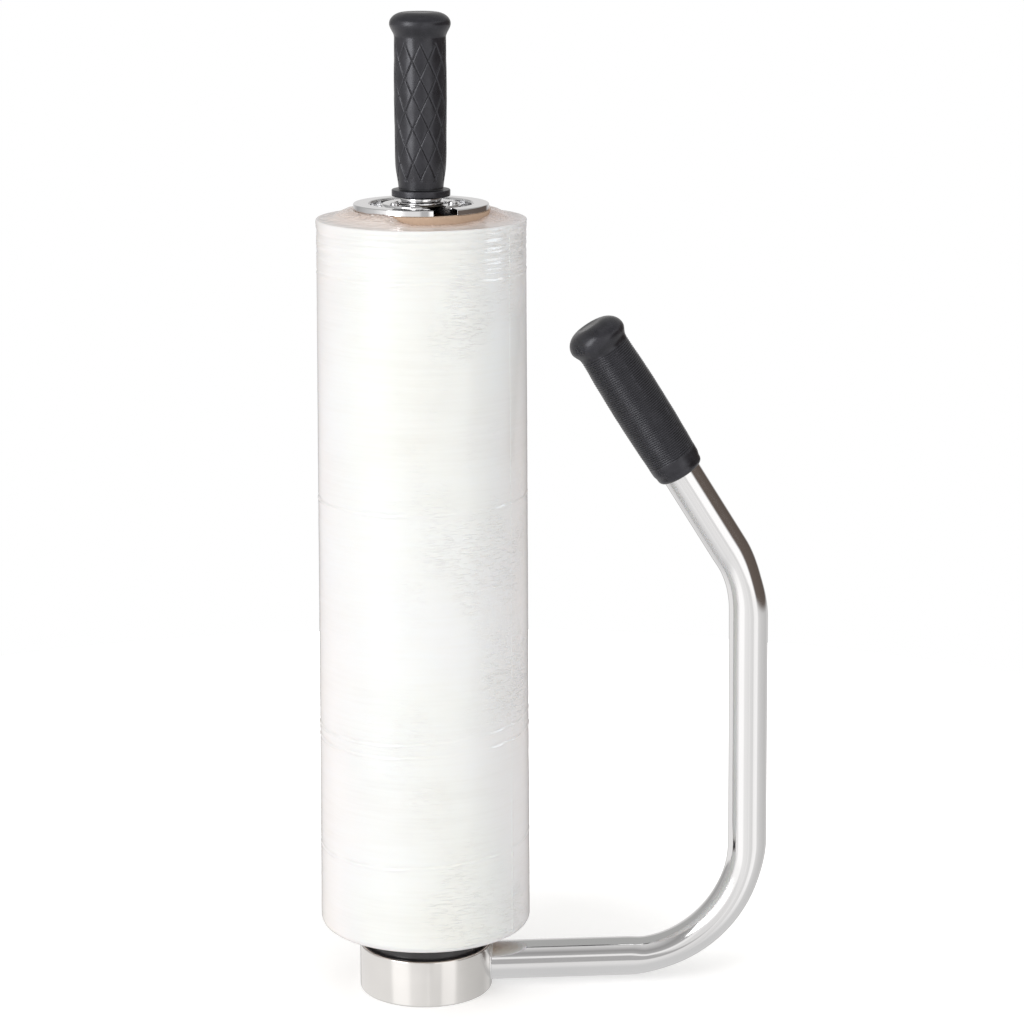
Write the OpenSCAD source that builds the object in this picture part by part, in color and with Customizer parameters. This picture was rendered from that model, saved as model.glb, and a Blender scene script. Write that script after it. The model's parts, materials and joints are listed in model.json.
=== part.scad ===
// Hand-held stretch film dispenser: a cup base with a bent side arm, a spindle that carries
// a free-running core hub, a slotted disc that holds the roll's upper end, and a screw-down
// top handle that brakes the roll through a spring and a friction washer.
// Frame: the origin is the centre of the cup's underside, +Z runs up the spindle and
// +X points at the side arm. Millimetres.

/* [Film roll] */
// Width of the film on the roll
film_w = 457; // [440:1:500]
// Outside diameter of the roll at its lower end
film_od_low = 136; // [110:1:160]
// Outside diameter of the roll at its upper end
film_od_high = 130.4; // [110:0.2:160]
// Bore of the cardboard core
core_id = 76.2; // [76:0.1:77]
// Outside diameter of the cardboard core
core_od = 86; // [85:0.5:90]
// How far the core stands out of the film at each end
core_proud = 5.5; // [4:0.5:8]

/* [Cup base] */
// Outside diameter of the cup
cup_od = 86; // [85:0.5:92]
// Height of the cup
cup_h = 31; // [28:1:34]
// Wall of the cup ring
cup_wall = 3; // [2:0.5:3.5]
// Thickness of the plate that closes the cup
floor_t = 6; // [5:0.5:7]

/* [Side arm] */
// Outside diameter of the arm tube
arm_od = 25; // [22:0.5:25]
// Height of the arm's centreline where it meets the cup
arm_z = 15; // [13:0.5:18]
// Wall of the arm tube
arm_wall = 1.5; // [1:0.1:2.5]
// Where the lower bend starts, measured from the spindle
arm_reach = 133; // [120:1:150]
// Centreline radius of the lower bend
low_bend_r = 78; // [60:1:90]
// Angle of the lower bend
low_bend_a = 90.65; // [88:0.05:92]
// Length of the upright stretch between the bends
upright_len = 150; // [120:1:170]
// Centreline radius of the upper bend
high_bend_r = 88; // [60:1:100]
// Angle of the upper bend
high_bend_a = 31.35; // [25:0.05:40]
// Straight stretch from the upper bend to the side grip
neck_len = 59.2; // [40:0.1:80]

/* [Grips] */
// Length of each rubber grip
grip_len = 112.5; // [108:0.5:120]
// Radius of the side grip's barrel at its middle
side_barrel_r = 17.35; // [16.5:0.05:18.5]
// Radius of the top grip's barrel at its middle
top_barrel_r = 16.35; // [15.5:0.05:17.5]
// Radius of the rounded bulb at each grip's closed end
bulb_r = 18.9; // [18:0.1:20]

/* [Spindle and brake] */
// Diameter of the spindle, which is the bore of its bearings
spindle_d = 15; // [15:1:15]
// Diameter of the threaded top of the spindle
thread_d = 12; // [10:1:12]
// Width of the slot that lets the top disc slide off the spindle
slot_w = 15.6; // [15.4:0.1:17]
// Direction of the slot, anticlockwise from the arm
slot_a = -72; // [-180:1:180]
// Outside diameter of the top disc
disc_od = 84.2; // [80:0.2:85]
// How far the handle can be unscrewed before the nut meets its stop
stop_gap = 6; // [5:0.5:8]

/* [Hidden] */
$fn = 96;

// Cup and arm
cup_r = cup_od / 2;
cup_bore_r = cup_r - cup_wall;
arm_r = arm_od / 2;
arm_bore_r = arm_r - arm_wall;
bend_step = 0.1;
bend_lap = 0.5;

// Deep groove bearings, 15 x 32 x 9
bearing_w = 9;
bearing_r = 16;
ball_r = 2.38;
ball_n = 9;
ball_pitch_r = 11.75;
groove_r = ball_r + 0.05;
inner_race_r = 10.2;
outer_race_bore_r = 13.3;
low_bearing_z = floor_t + 10;
race_gap = 25;
high_bearing_z = low_bearing_z + bearing_w + race_gap;
spacer_r = 10;
slip = 0.02;
spindle_r = spindle_d / 2;
screw_r = 3.95;
screw_head_r = 8.1;
screw_head_h = 4.2;
stop_screw_r = 3;
circlip_z = high_bearing_z + bearing_w + 0.1;
circlip_t = 1;
circlip_depth = 0.5;

// Core hub and roll
hub_flange_z = cup_h + 7.3;
hub_flange_t = 3;
core_z = hub_flange_z + hub_flange_t;
film_z = core_z + core_proud;
core_top = film_z + film_w + core_proud;
hub_wall = 3;
hub_skirt_r = cup_bore_r - 0.8;
hub_spigot_r = core_id / 2 - 0.5;
hub_spigot_h = 34;
hub_boss_r = 20;
hub_rib_n = 6;

// Top disc and the plug under it
disc_t = 4;
disc_r = disc_od / 2;
rim_in_r = 32.5;
web_drop = 1;
ring_out_r = 24;
ring_in_r = 17;
plug_r = core_id / 2 - 0.3;
plug_depth = 4;
plug_boss_h = 2.6;
disc_screw_angles = [90, 215, -20];
disc_screw_ring_r = 20.5;
disc_screw_r = 1.6;

// Brake and handle, stacked up the spindle
friction_z = core_top + plug_boss_h;
friction_t = 1;
friction_r = 13.8;
pressure_z = friction_z + friction_t;
pressure_t = 1.4;
pressure_r = 14.2;
collar_z = pressure_z + pressure_t;
collar_h = 3.2;
collar_r = 12.8;
collar_seat_h = 3;
shoulder_z = collar_z + collar_h + collar_seat_h;
spring_top = shoulder_z + 24;
spring_coils = 6;
spring_wire_r = 0.9;
spring_r = 8.6;
seat_t = 2;
nut_z = spring_top + seat_t;
nut_h = 14;
thread_r = thread_d / 2;
spindle_top = nut_z + nut_h + stop_gap;
stop_washer_t = 2;
handle_z = collar_z + collar_h + 0.1;
tube_r = 12.5;
tube_bore_r = 10.5;
grip_cap_t = 3.2;

// ---- Shared shapes ----

function arc(x, y, r, from, to, n = 6) =
    [for (i = [0 : n]) let (a = from + (to - from) * i / n) [x + r * cos(a), y + r * sin(a)]];

module cylinder_from(z, h, r) {
    translate([0, 0, z]) cylinder(r = r, h = h);
}

// Turned ring between two radii, standing on z, with its outer edges rounded
module ring(r_in, r_out, z, h, round_low = 0, round_high = 0) {
    low = round_low > 0 ? arc(r_out - round_low, round_low, round_low, -90, 0) : [[r_out, 0]];
    high = round_high > 0
        ? arc(r_out - round_high, h - round_high, round_high, 0, 90) : [[r_out, h]];
    translate([0, 0, z])
        rotate_extrude() polygon(concat([[r_in, 0]], low, high, [[r_in, h]]));
}

module ring_of(n, start = 0) {
    for (i = [0 : n - 1]) rotate([0, 0, start + i * 360 / n]) children();
}

module hex_socket(z, depth) {
    translate([0, 0, z]) cylinder(d = 5 / cos(30), h = depth, $fn = 6);
}

// ---- Cup base ----

module cup_ring() {
    foot_round = 1.2;
    rim_round = 0.5;
    color("gainsboro") ring(cup_bore_r, cup_r, 0, cup_h, foot_round, rim_round);
}

module cup_floor() {
    sink_r = screw_head_r + 0.3;
    hole_r = screw_r + 0.15;
    color("silver")
        difference() {
            ring(0, cup_bore_r, 0, floor_t);
            cylinder_from(-1, floor_t + 2, hole_r);
            translate([0, 0, -0.01]) cylinder(r1 = sink_r, r2 = hole_r, h = screw_head_h + 0.2);
        }
}

// ---- Side arm: straight runs and bends, each placed on the end of the one before ----

module straight(len) {
    difference() {
        cylinder_from(-bend_lap, len + 2 * bend_lap, arm_r);
        cylinder_from(-bend_lap - 1, len + 2 * bend_lap + 2, arm_bore_r);
    }
    translate([0, 0, len]) children();
}

// A drawn bend is a touch thinner than the tube that runs into it
module bend(bend_r, a) {
    translate([-bend_r, 0, 0]) {
        rotate([90, 0, 0])
            rotate_extrude(angle = a)
                translate([bend_r, 0]) difference() {
                    circle(r = arm_r - bend_step);
                    circle(r = arm_bore_r + bend_step);
                }
        rotate([0, -a, 0]) translate([bend_r, 0, 0]) children();
    }
}

// Places its children at the grip's closed end, with +Z pointing out of the arm
module at_arm_end() {
    translate([arm_reach, 0, arm_z]) rotate([0, 90, 0])
        translate([-low_bend_r, 0, 0]) rotate([0, -low_bend_a, 0])
            translate([low_bend_r - high_bend_r, 0, upright_len])
                rotate([0, -high_bend_a, 0])
                    translate([high_bend_r, 0, neck_len + grip_len]) children();
}

module side_arm() {
    root = cup_bore_r - 2;
    color("silver")
        difference() {
            translate([root, 0, arm_z]) rotate([0, 90, 0])
                straight(arm_reach - root)
                    bend(low_bend_r, low_bend_a)
                        straight(upright_len)
                            bend(high_bend_r, high_bend_a)
                                straight(neck_len + grip_len - grip_cap_t - bend_lap);
            cylinder_from(-1, cup_h + 2, cup_r);
        }
}

// Fillet weld around the coped end of the tube
module arm_weld() {
    leg = 2.6;
    leg_len = 8;
    color("silver")
        difference() {
            translate([cup_r - 5, 0, arm_z]) rotate([0, 90, 0])
                cylinder(r1 = arm_r + leg, r2 = arm_r, h = leg_len, $fn = 180);
            cylinder_from(-1, cup_h + 2, cup_r);
            translate([0, 0, arm_z]) rotate([0, 90, 0])
                cylinder(r = arm_r, h = 2 * cup_r, $fn = 180);
        }
}

// ---- Grips: height 0 is the closed end, and the outline runs down to the open end ----

// Quarter ellipse from the end face out to the fattest part, then a smooth curve to the neck
function bulb(d, mid, neck, face_r, neck_r) =
    d < mid ? face_r + (bulb_r - face_r) * sqrt(1 - pow((mid - d) / mid, 2))
    : neck_r + (bulb_r - neck_r) * (1 + cos(180 * (d - mid) / (neck - mid))) / 2;
function barrel(d, from, to, end_r, mid_r) =
    end_r + (mid_r - end_r) * sin(180 * (d - from) / (to - from));

module grip_body(outline, bore_r) {
    rotate_extrude()
        polygon(concat(
            [[0, 0]],
            outline,
            [[bore_r, -grip_len], [bore_r, -grip_cap_t], [0, -grip_cap_t]]));
}

module side_grip() {
    face_r = 7;
    mid = 9.7;
    neck = 17.5;
    neck_r = 16.35;
    foot = grip_len - 8;
    foot_round = 4;
    foot_r = neck_r - 0.8;
    outline = concat(
        [for (i = [0 : 14]) let (d = neck * i / 14) [bulb(d, mid, neck, face_r, neck_r), -d]],
        [for (i = [1 : 12]) let (d = neck + (foot - neck) * i / 12)
            [barrel(d, neck, foot, neck_r, side_barrel_r), -d]],
        arc(foot_r - foot_round, -grip_len + foot_round, foot_round, 0, -60));
    color("dimgray") at_arm_end() grip_body(outline, arm_r);
}

module top_grip() {
    face_r = 9;
    mid = 7.1;
    neck = 15.5;
    neck_r = 15.9;
    foot = grip_len - 12;
    waist = grip_len - 5;
    waist_r = 14.5;
    flange_r = 18.2;
    flange_t = 4.2;
    edge = 0.7;
    outline = concat(
        [for (i = [0 : 14]) let (d = neck * i / 14) [bulb(d, mid, neck, face_r, neck_r), -d]],
        [for (i = [1 : 10]) let (d = neck + (foot - neck) * i / 10)
            [barrel(d, neck, foot + 16, neck_r, top_barrel_r), -d]],
        [[waist_r, -waist]],
        arc(flange_r - edge, -grip_len + flange_t - edge, edge, 90, 0, 4),
        arc(flange_r - edge, -grip_len + edge, edge, 0, -90, 4));
    color("dimgray")
        translate([0, 0, handle_z + grip_len]) grip_body(outline, tube_r);
}

// ---- Spindle ----

module spindle() {
    tip = 1;
    low_tap_depth = 23;
    high_tap_depth = 18;
    groove_h = circlip_t + 0.1;
    color("silver")
        difference() {
            union() {
                cylinder_from(floor_t, shoulder_z - floor_t, spindle_r);
                cylinder_from(shoulder_z, spindle_top - shoulder_z - tip, thread_r);
                translate([0, 0, spindle_top - tip])
                    cylinder(r1 = thread_r, r2 = thread_r - tip, h = tip);
            }
            cylinder_from(floor_t - 1, low_tap_depth + 1, screw_r + 0.05);
            cylinder_from(spindle_top - high_tap_depth, high_tap_depth + 1, stop_screw_r + 0.05);
            difference() {
                cylinder_from(circlip_z, groove_h, spindle_d);
                cylinder_from(circlip_z - 1, groove_h + 2, spindle_r - circlip_depth);
            }
        }
}

module spindle_screw() {
    sunk = 0.2;
    shank = 22;
    color("darkgray")
        difference() {
            union() {
                translate([0, 0, sunk]) cylinder(r1 = screw_head_r, r2 = screw_r, h = screw_head_h);
                cylinder_from(sunk + screw_head_h - 0.1, shank, screw_r);
            }
            hex_socket(-1, 4.5);
        }
}

module spacer(z, h) {
    color("silver") ring(spindle_r + slip, spacer_r, z, h);
}

module hub_circlip() {
    ring_w = 2.9;
    gap = 5;
    inner_r = spindle_r - circlip_depth + 0.05;
    color("dimgray")
        difference() {
            ring(inner_r, inner_r + ring_w, circlip_z + 0.05, circlip_t - 0.05);
            translate([0, -gap / 2, circlip_z - 1]) cube([spindle_d, gap, circlip_t + 2]);
        }
}

// ---- Bearings ----

module race(r_in, r_out, z) {
    color("lightsteelblue")
        difference() {
            ring(r_in, r_out, z, bearing_w);
            translate([0, 0, z + bearing_w / 2])
                rotate_extrude() translate([ball_pitch_r, 0]) circle(r = groove_r);
        }
}

module inner_race(z) {
    race(spindle_r + slip, inner_race_r, z);
}

module outer_race(z) {
    race(outer_race_bore_r, bearing_r, z);
}

module balls(z) {
    color("silver")
        translate([0, 0, z + bearing_w / 2])
            ring_of(ball_n) translate([ball_pitch_r, 0, 0]) sphere(r = ball_r);
}

module cage(z) {
    cage_h = 6;
    cage_t = 1.4;
    color("peru")
        difference() {
            ring(ball_pitch_r - cage_t / 2, ball_pitch_r + cage_t / 2,
                z + (bearing_w - cage_h) / 2, cage_h);
            translate([0, 0, z + bearing_w / 2])
                ring_of(ball_n) rotate([0, 90, 0]) cylinder(r = ball_r + 0.06, h = bearing_r);
        }
}

// ---- Core hub and roll ----

module core_hub() {
    spigot_in_r = hub_spigot_r - hub_wall;
    skirt_z = floor_t + 4;
    boss_z = low_bearing_z - 1.5;
    boss_h = high_bearing_z + bearing_w + 3 - boss_z;
    web_z = boss_z + 1;
    web_t = 2.5;
    rib_w = 2;
    color([0.09, 0.09, 0.1])
        difference() {
            union() {
                ring(spigot_in_r, hub_skirt_r, skirt_z, hub_flange_z - skirt_z, 0.8);
                ring(spigot_in_r, core_od / 2 - 0.5, hub_flange_z, hub_flange_t, 0.6, 0.6);
                ring(spigot_in_r, hub_spigot_r, core_z, hub_spigot_h, 0, 2);
                ring(hub_boss_r - 1, spigot_in_r + 1, hub_flange_z, hub_flange_t);
                cylinder_from(boss_z, boss_h, hub_boss_r);
                // Webs from the boss to the shell
                ring_of(hub_rib_n)
                    translate([hub_boss_r - 1, -web_t / 2, web_z])
                        cube([spigot_in_r - hub_boss_r + 2, web_t, boss_h - 2]);
                // Ribs that bite into the core
                ring_of(hub_rib_n, 30)
                    translate([hub_spigot_r - 0.6, -rib_w / 2, core_z + 1])
                        cube([1, rib_w, hub_spigot_h - 5]);
            }
            cylinder_from(boss_z - 1, boss_h + 2, outer_race_bore_r + 1.2);
            cylinder_from(boss_z - 1, low_bearing_z + bearing_w - boss_z + 1, bearing_r);
            cylinder_from(high_bearing_z, bearing_w + 4, bearing_r);
        }
}

module roll_core() {
    color("tan") ring(core_id / 2, core_od / 2, core_z, core_top - core_z);
}

module film_roll() {
    color("whitesmoke")
        difference() {
            translate([0, 0, film_z])
                cylinder(d1 = film_od_low, d2 = film_od_high, h = film_w);
            cylinder_from(film_z - 1, film_w + 2, core_od / 2);
        }
}

// ---- Top disc ----

// Slot from the spindle out through the rim, so the disc slides off sideways
module spindle_slot(z, h) {
    rotate([0, 0, slot_a]) {
        translate([0, -slot_w / 2, z]) cube([disc_od, slot_w, h]);
        cylinder_from(z, h, slot_w / 2);
    }
}

module at_disc_screws() {
    for (a = disc_screw_angles) rotate([0, 0, a]) translate([disc_screw_ring_r, 0, 0]) children();
}

// Curved window between two radii, from one angle to another
module window(r_in, r_out, from, to, z, h) {
    rotate([0, 0, from])
        translate([0, 0, z])
            rotate_extrude(angle = to - from) translate([r_in, 0]) square([r_out - r_in, h]);
}

module core_plug() {
    deck_t = 2;
    z = core_top - plug_depth;
    color([0.07, 0.07, 0.08])
        difference() {
            union() {
                ring(plug_r - 3, plug_r, z, plug_depth - deck_t + 0.5, 0.6);
                ring(0, plug_r, core_top - deck_t, deck_t);
                ring(0, ring_in_r - 0.05, core_top - 0.5, plug_boss_h + 0.5);
            }
            spindle_slot(z - 1, plug_depth + plug_boss_h + 2);
            at_disc_screws() cylinder_from(z - 1, plug_depth + 2, disc_screw_r + 0.05);
        }
}

// Outline of the disc's section, from the inner ring across the web to the rim
module disc_section() {
    web_t = disc_t - web_drop;
    inner_round = 0.8;
    rim_round = 0.8;
    polygon(concat(
        [[ring_in_r, 0], [disc_r - 0.4, 0], [disc_r, 0.4]],
        arc(disc_r - rim_round, disc_t - rim_round, rim_round, 0, 90),
        [[rim_in_r + 0.5, disc_t], [rim_in_r, disc_t - 0.5], [rim_in_r, web_t], [ring_out_r, web_t]],
        arc(ring_out_r - inner_round, disc_t - inner_round, inner_round, 20, 90),
        [[ring_in_r, disc_t]]));
}

module top_disc() {
    windows = [[54, 107], [119, 200], [-34, 42]];
    color("lightgray")
        difference() {
            translate([0, 0, core_top]) rotate_extrude() disc_section();
            spindle_slot(core_top - 1, disc_t + 2);
            for (w = windows)
                window(ring_out_r + 1, rim_in_r - 1, w[0], w[1], core_top - 1, disc_t + 2);
            at_disc_screws() cylinder_from(core_top - 1, disc_t + 2, disc_screw_r + 0.1);
        }
}

module disc_screws() {
    head_h = 1.6;
    head_r = 3;
    drive_w = 0.8;
    color("silver")
        at_disc_screws() {
            cylinder_from(core_top - plug_depth + 0.5, plug_depth + disc_t - 0.5, disc_screw_r);
            difference() {
                ring(0, head_r, core_top + disc_t, head_h, 0, 0.8);
                translate([-head_r - 1, -drive_w / 2, core_top + disc_t + head_h - 0.8])
                    cube([2 * head_r + 2, drive_w, 1]);
            }
        }
}

// ---- Brake stack and top handle ----

module friction_washer() {
    color([0.16, 0.14, 0.12])
        ring(spindle_r + 0.1, friction_r, friction_z + 0.05, friction_t - 0.05);
}

module pressure_washer() {
    color("silver") ring(spindle_r + 0.1, pressure_r, pressure_z, pressure_t, 0.3, 0.5);
}

module thrust_collar() {
    color("silver")
        union() {
            ring(spindle_r + 0.05, collar_r, collar_z, collar_h, 0.8, 1.2);
            ring(spindle_r + 0.05, tube_bore_r - 0.6, collar_z + collar_h - 0.5,
                collar_seat_h + 0.5);
        }
}

// Height of the wire's centre, from 0 at the lower end to 1 at the upper one: the first and
// last coils lie close to their neighbours
function spring_z(u) =
    let (end = 1 / spring_coils, gap = spring_wire_r + 0.05, lift = 2.1 * spring_wire_r,
         low = shoulder_z + gap, high = spring_top - gap)
    u < end ? low + lift * u / end
    : u > 1 - end ? high - lift * (1 - u) / end
    : low + lift + (high - low - 2 * lift) * (u - end) / (1 - 2 * end);

module brake_spring() {
    sides = 8;
    last = spring_coils * 20;
    points = [for (i = [0 : last], k = [0 : sides - 1])
        let (turn = 360 * spring_coils * i / last, a = 360 * k / sides,
             r = spring_r + spring_wire_r * cos(a))
        [r * cos(turn), r * sin(turn), spring_z(i / last) + spring_wire_r * sin(a)]];
    walls = [for (i = [0 : last - 1], k = [0 : sides - 1])
        let (a = i * sides, b = a + sides, n = (k + 1) % sides)
        each [[a + k, b + n, a + n], [a + k, b + k, b + n]]];
    ends = [[for (k = [0 : sides - 1]) k], [for (k = [sides - 1 : -1 : 0]) last * sides + k]];
    color("gray") polyhedron(points, concat(walls, ends));
}

module spring_seat() {
    color("silver") ring(thread_r + 0.3, tube_bore_r - 0.2, spring_top, seat_t);
}

module handle_nut() {
    color("darkgray") ring(thread_r + 0.05, tube_bore_r, nut_z + 0.02, nut_h - 0.02);
}

module handle_tube() {
    z = handle_z + 0.5;
    color("silver") ring(tube_bore_r, tube_r, z, handle_z + grip_len - grip_cap_t - z);
}

module stop_washer() {
    color("silver") ring(stop_screw_r + 0.2, 9.5, spindle_top, stop_washer_t);
}

module stop_screw() {
    shank = 16;
    head_r = 5;
    head_h = 6;
    head_z = spindle_top + stop_washer_t;
    color("darkgray")
        difference() {
            union() {
                cylinder_from(spindle_top - shank, shank + stop_washer_t, stop_screw_r);
                ring(0, head_r, head_z, head_h, 0, 0.5);
            }
            hex_socket(head_z + head_h / 2, head_h);
        }
}

cup_ring();
cup_floor();
side_arm();
arm_weld();
side_grip();
spindle();
spindle_screw();
spacer(floor_t, low_bearing_z - floor_t);  // base_spacer
spacer(low_bearing_z + bearing_w, race_gap);  // race_spacer
hub_circlip();
inner_race(low_bearing_z);  // lower_inner_race
outer_race(low_bearing_z);  // lower_outer_race
balls(low_bearing_z);  // lower_balls
cage(low_bearing_z);  // lower_cage
inner_race(high_bearing_z);  // upper_inner_race
outer_race(high_bearing_z);  // upper_outer_race
balls(high_bearing_z);  // upper_balls
cage(high_bearing_z);  // upper_cage
core_hub();
roll_core();
film_roll();
core_plug();
top_disc();
disc_screws();
friction_washer();
pressure_washer();
thrust_collar();
brake_spring();
spring_seat();
handle_nut();
handle_tube();
top_grip();
stop_washer();
stop_screw();
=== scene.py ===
"""Looks for the hand-held stretch film dispenser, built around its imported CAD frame. Metres."""
import json
from math import cos, exp, floor, hypot, pi, radians, sin, sqrt

import bmesh
import bpy
from mathutils import Matrix, Vector, noise

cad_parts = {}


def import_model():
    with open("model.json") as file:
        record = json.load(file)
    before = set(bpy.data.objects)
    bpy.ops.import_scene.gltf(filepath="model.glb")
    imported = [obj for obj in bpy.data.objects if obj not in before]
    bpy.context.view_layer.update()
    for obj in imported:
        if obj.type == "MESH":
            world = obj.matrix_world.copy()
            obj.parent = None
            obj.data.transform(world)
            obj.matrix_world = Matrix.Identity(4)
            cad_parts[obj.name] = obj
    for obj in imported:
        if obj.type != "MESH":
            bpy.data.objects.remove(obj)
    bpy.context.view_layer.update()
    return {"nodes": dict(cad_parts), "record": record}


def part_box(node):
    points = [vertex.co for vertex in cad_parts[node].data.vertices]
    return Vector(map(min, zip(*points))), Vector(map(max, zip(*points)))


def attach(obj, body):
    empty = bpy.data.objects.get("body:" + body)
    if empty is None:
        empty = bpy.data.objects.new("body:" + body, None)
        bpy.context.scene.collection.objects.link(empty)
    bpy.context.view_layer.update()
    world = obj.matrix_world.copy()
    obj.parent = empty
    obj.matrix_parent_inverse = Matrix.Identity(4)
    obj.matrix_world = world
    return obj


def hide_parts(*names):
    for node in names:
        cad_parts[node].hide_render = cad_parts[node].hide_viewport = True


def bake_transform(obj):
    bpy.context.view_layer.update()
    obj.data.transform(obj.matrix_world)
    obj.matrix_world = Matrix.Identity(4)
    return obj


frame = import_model()

MM = 0.001
TURN = 2 * pi

# Both grips, in millimetres: length, bulb and bore radius, the end's thickness, and how far
# short of it the tube stops
GRIP_LEN = 112.5
BULB_R = 18.9
BORE_R = 12.5
CAP = 3.2
END_GAP = 0.3


def low(node):
    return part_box(node)[0]


def high(node):
    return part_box(node)[1]


def outer_radius(node):
    return high(node).y


def smooth(t):
    t = min(1.0, max(0.0, t))
    return t * t * (3 - 2 * t)


def lerp(a, b, t):
    return a + (b - a) * t


# ---- Mesh building ----

def make_piece(name, verts, faces, body, slot, replaced, finish=None, sharp=35):
    """A smooth piece that stands for a CAD node. Edges over sharp degrees stay crisp."""
    mesh = bpy.data.meshes.new(name)
    mesh.from_pydata(verts, [], faces)
    mesh.validate()
    work = bmesh.new()
    work.from_mesh(mesh)
    bmesh.ops.recalc_face_normals(work, faces=work.faces)
    work.to_mesh(mesh)
    work.free()
    mesh.materials.append(FINISHES[finish or slot])
    for polygon in mesh.polygons:
        polygon.use_smooth = True
    mesh.set_sharp_from_angle(angle=radians(sharp))
    piece = bpy.data.objects.new(name, mesh)
    bpy.context.scene.collection.objects.link(piece)
    if body:
        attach(piece, body)
    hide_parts(replaced)
    return piece


def arc(x, y, r, start, end, n=8):
    """Points (x, y) along an arc, angles in degrees."""
    angles = [radians(lerp(start, end, i / n)) for i in range(n + 1)]
    return [(x + r * cos(a), y + r * sin(a)) for a in angles]


def spaced(start, end, n):
    """n + 1 even steps, with both ends."""
    return [lerp(start, end, i / n) for i in range(n + 1)]


def grid_faces(rows, columns, close_rows):
    """Quads between rows of points that each close round on themselves."""
    faces = []
    for i in range(rows if close_rows else rows - 1):
        a, b = i * columns, ((i + 1) % rows) * columns
        for k in range(columns):
            n = (k + 1) % columns
            faces.append((a + k, a + n, b + n, b + k))
    return faces


def even(segments):
    return [TURN * k / segments for k in range(segments)]


def turned(outline, bearings, shape=None):
    """Turns a closed outline of (r, z) points about Z. shape(r, z, a) may move each point."""
    verts = []
    for r, z in outline:
        for a in bearings:
            rr, zz = shape(r, z, a) if shape else (r, z)
            verts.append((rr * cos(a), rr * sin(a), zz))
    return verts, grid_faces(len(outline), len(bearings), True)


def densified(outline, step):
    """The same outline with no stretch longer than step."""
    points = [outline[0]]
    for (r0, z0), (r1, z1) in zip(outline, outline[1:]):
        n = max(1, round(hypot(r1 - r0, z1 - z0) / step))
        points += [(lerp(r0, r1, i / n), lerp(z0, z1, i / n)) for i in range(1, n + 1)]
    return points


# ---- Materials ----

class Nodes:
    """Calls that add nodes to a tree and return what they put out."""

    def __init__(self, tree):
        self.tree = tree

    def set(self, node, inputs):
        for key, value in inputs.items():
            socket = node.inputs[key if isinstance(key, int) else key.replace("_", " ")]
            if isinstance(value, bpy.types.NodeSocket):
                self.tree.links.new(value, socket)
            else:
                socket.default_value = value

    def node(self, kind, settings=None, **inputs):
        node = self.tree.nodes.new(kind)
        for key, value in (settings or {}).items():
            setattr(node, key, value)
        self.set(node, inputs)
        return node

    def math(self, operation, a, b=0.0, c=0.0):
        node = self.tree.nodes.new("ShaderNodeMath")
        node.operation = operation
        self.set(node, {0: a, 1: b, 2: c})
        return node.outputs[0]

    def noise(self, vector, scale, detail=3.0, roughness=0.5):
        node = self.node("ShaderNodeTexNoise", Vector=vector, Scale=scale, Detail=detail,
                         Roughness=roughness)
        return node.outputs["Fac"]

    def ramp(self, value, stops):
        """stops: (place, colour) pairs; a colour may be one grey number."""
        node = self.node("ShaderNodeValToRGB", Fac=value)
        ramp = node.color_ramp
        while len(ramp.elements) < len(stops):
            ramp.elements.new(0.5)
        for element, (place, colour) in zip(ramp.elements, stops):
            element.position = place
            grey = isinstance(colour, (int, float))
            element.color = (colour,) * 3 + (1,) if grey else tuple(colour) + (1,)
        return node.outputs["Color"]

    def mix(self, factor, a, b):
        node = self.node("ShaderNodeMix", {"data_type": "RGBA"})
        for index, value in ((0, factor), (6, a), (7, b)):
            if isinstance(value, tuple):
                value = value + (1,)
            self.set(node, {index: value})
        return node.outputs[2]


class Shader(Nodes):
    """A Principled material and the nodes that feed it."""

    def __init__(self, name, **inputs):
        self.material = bpy.data.materials.new(name)
        self.material.use_nodes = True
        super().__init__(self.material.node_tree)
        self.surface = self.tree.nodes["Principled BSDF"]
        self.set(self.surface, inputs)
        self.place = self.node("ShaderNodeTexCoord").outputs["Object"]

    def stretched(self, x, y, z):
        return self.node("ShaderNodeMapping", Vector=self.place, Scale=(x, y, z)).outputs[0]

    def geometry(self, output):
        return self.node("ShaderNodeNewGeometry").outputs[output]

    def bump(self, height, distance, strength=1.0, normal=None):
        inputs = {"Height": height, "Distance": distance, "Strength": strength}
        if normal:
            inputs["Normal"] = normal
        return self.node("ShaderNodeBump", **inputs).outputs[0]

    def rounded(self, radius):
        """Normals that round off an edge, for a CAD mesh with sharp corners."""
        return self.node("ShaderNodeBevel", {"samples": 6}, Radius=radius).outputs[0]

    def out(self, **inputs):
        self.set(self.surface, inputs)
        return self.material


def chrome(name, tint, roughness, edge):
    """edge: how far sharp corners look rounded off, or 0 where the mesh is already round."""
    s = Shader(name, Metallic=1.0)
    ripple = s.noise(s.place, 90, 2)
    smear = s.ramp(s.noise(s.place, 35, 5, 0.6), [(0.35, roughness), (0.7, roughness * 2.2)])
    colour = s.mix(s.noise(s.place, 18, 2), tint, tuple(c * 0.94 for c in tint))
    normal = s.bump(ripple, 0.02 * MM, 0.6, s.rounded(edge) if edge else None)
    return s.out(Base_Color=colour, Roughness=smear, Normal=normal)


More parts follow.
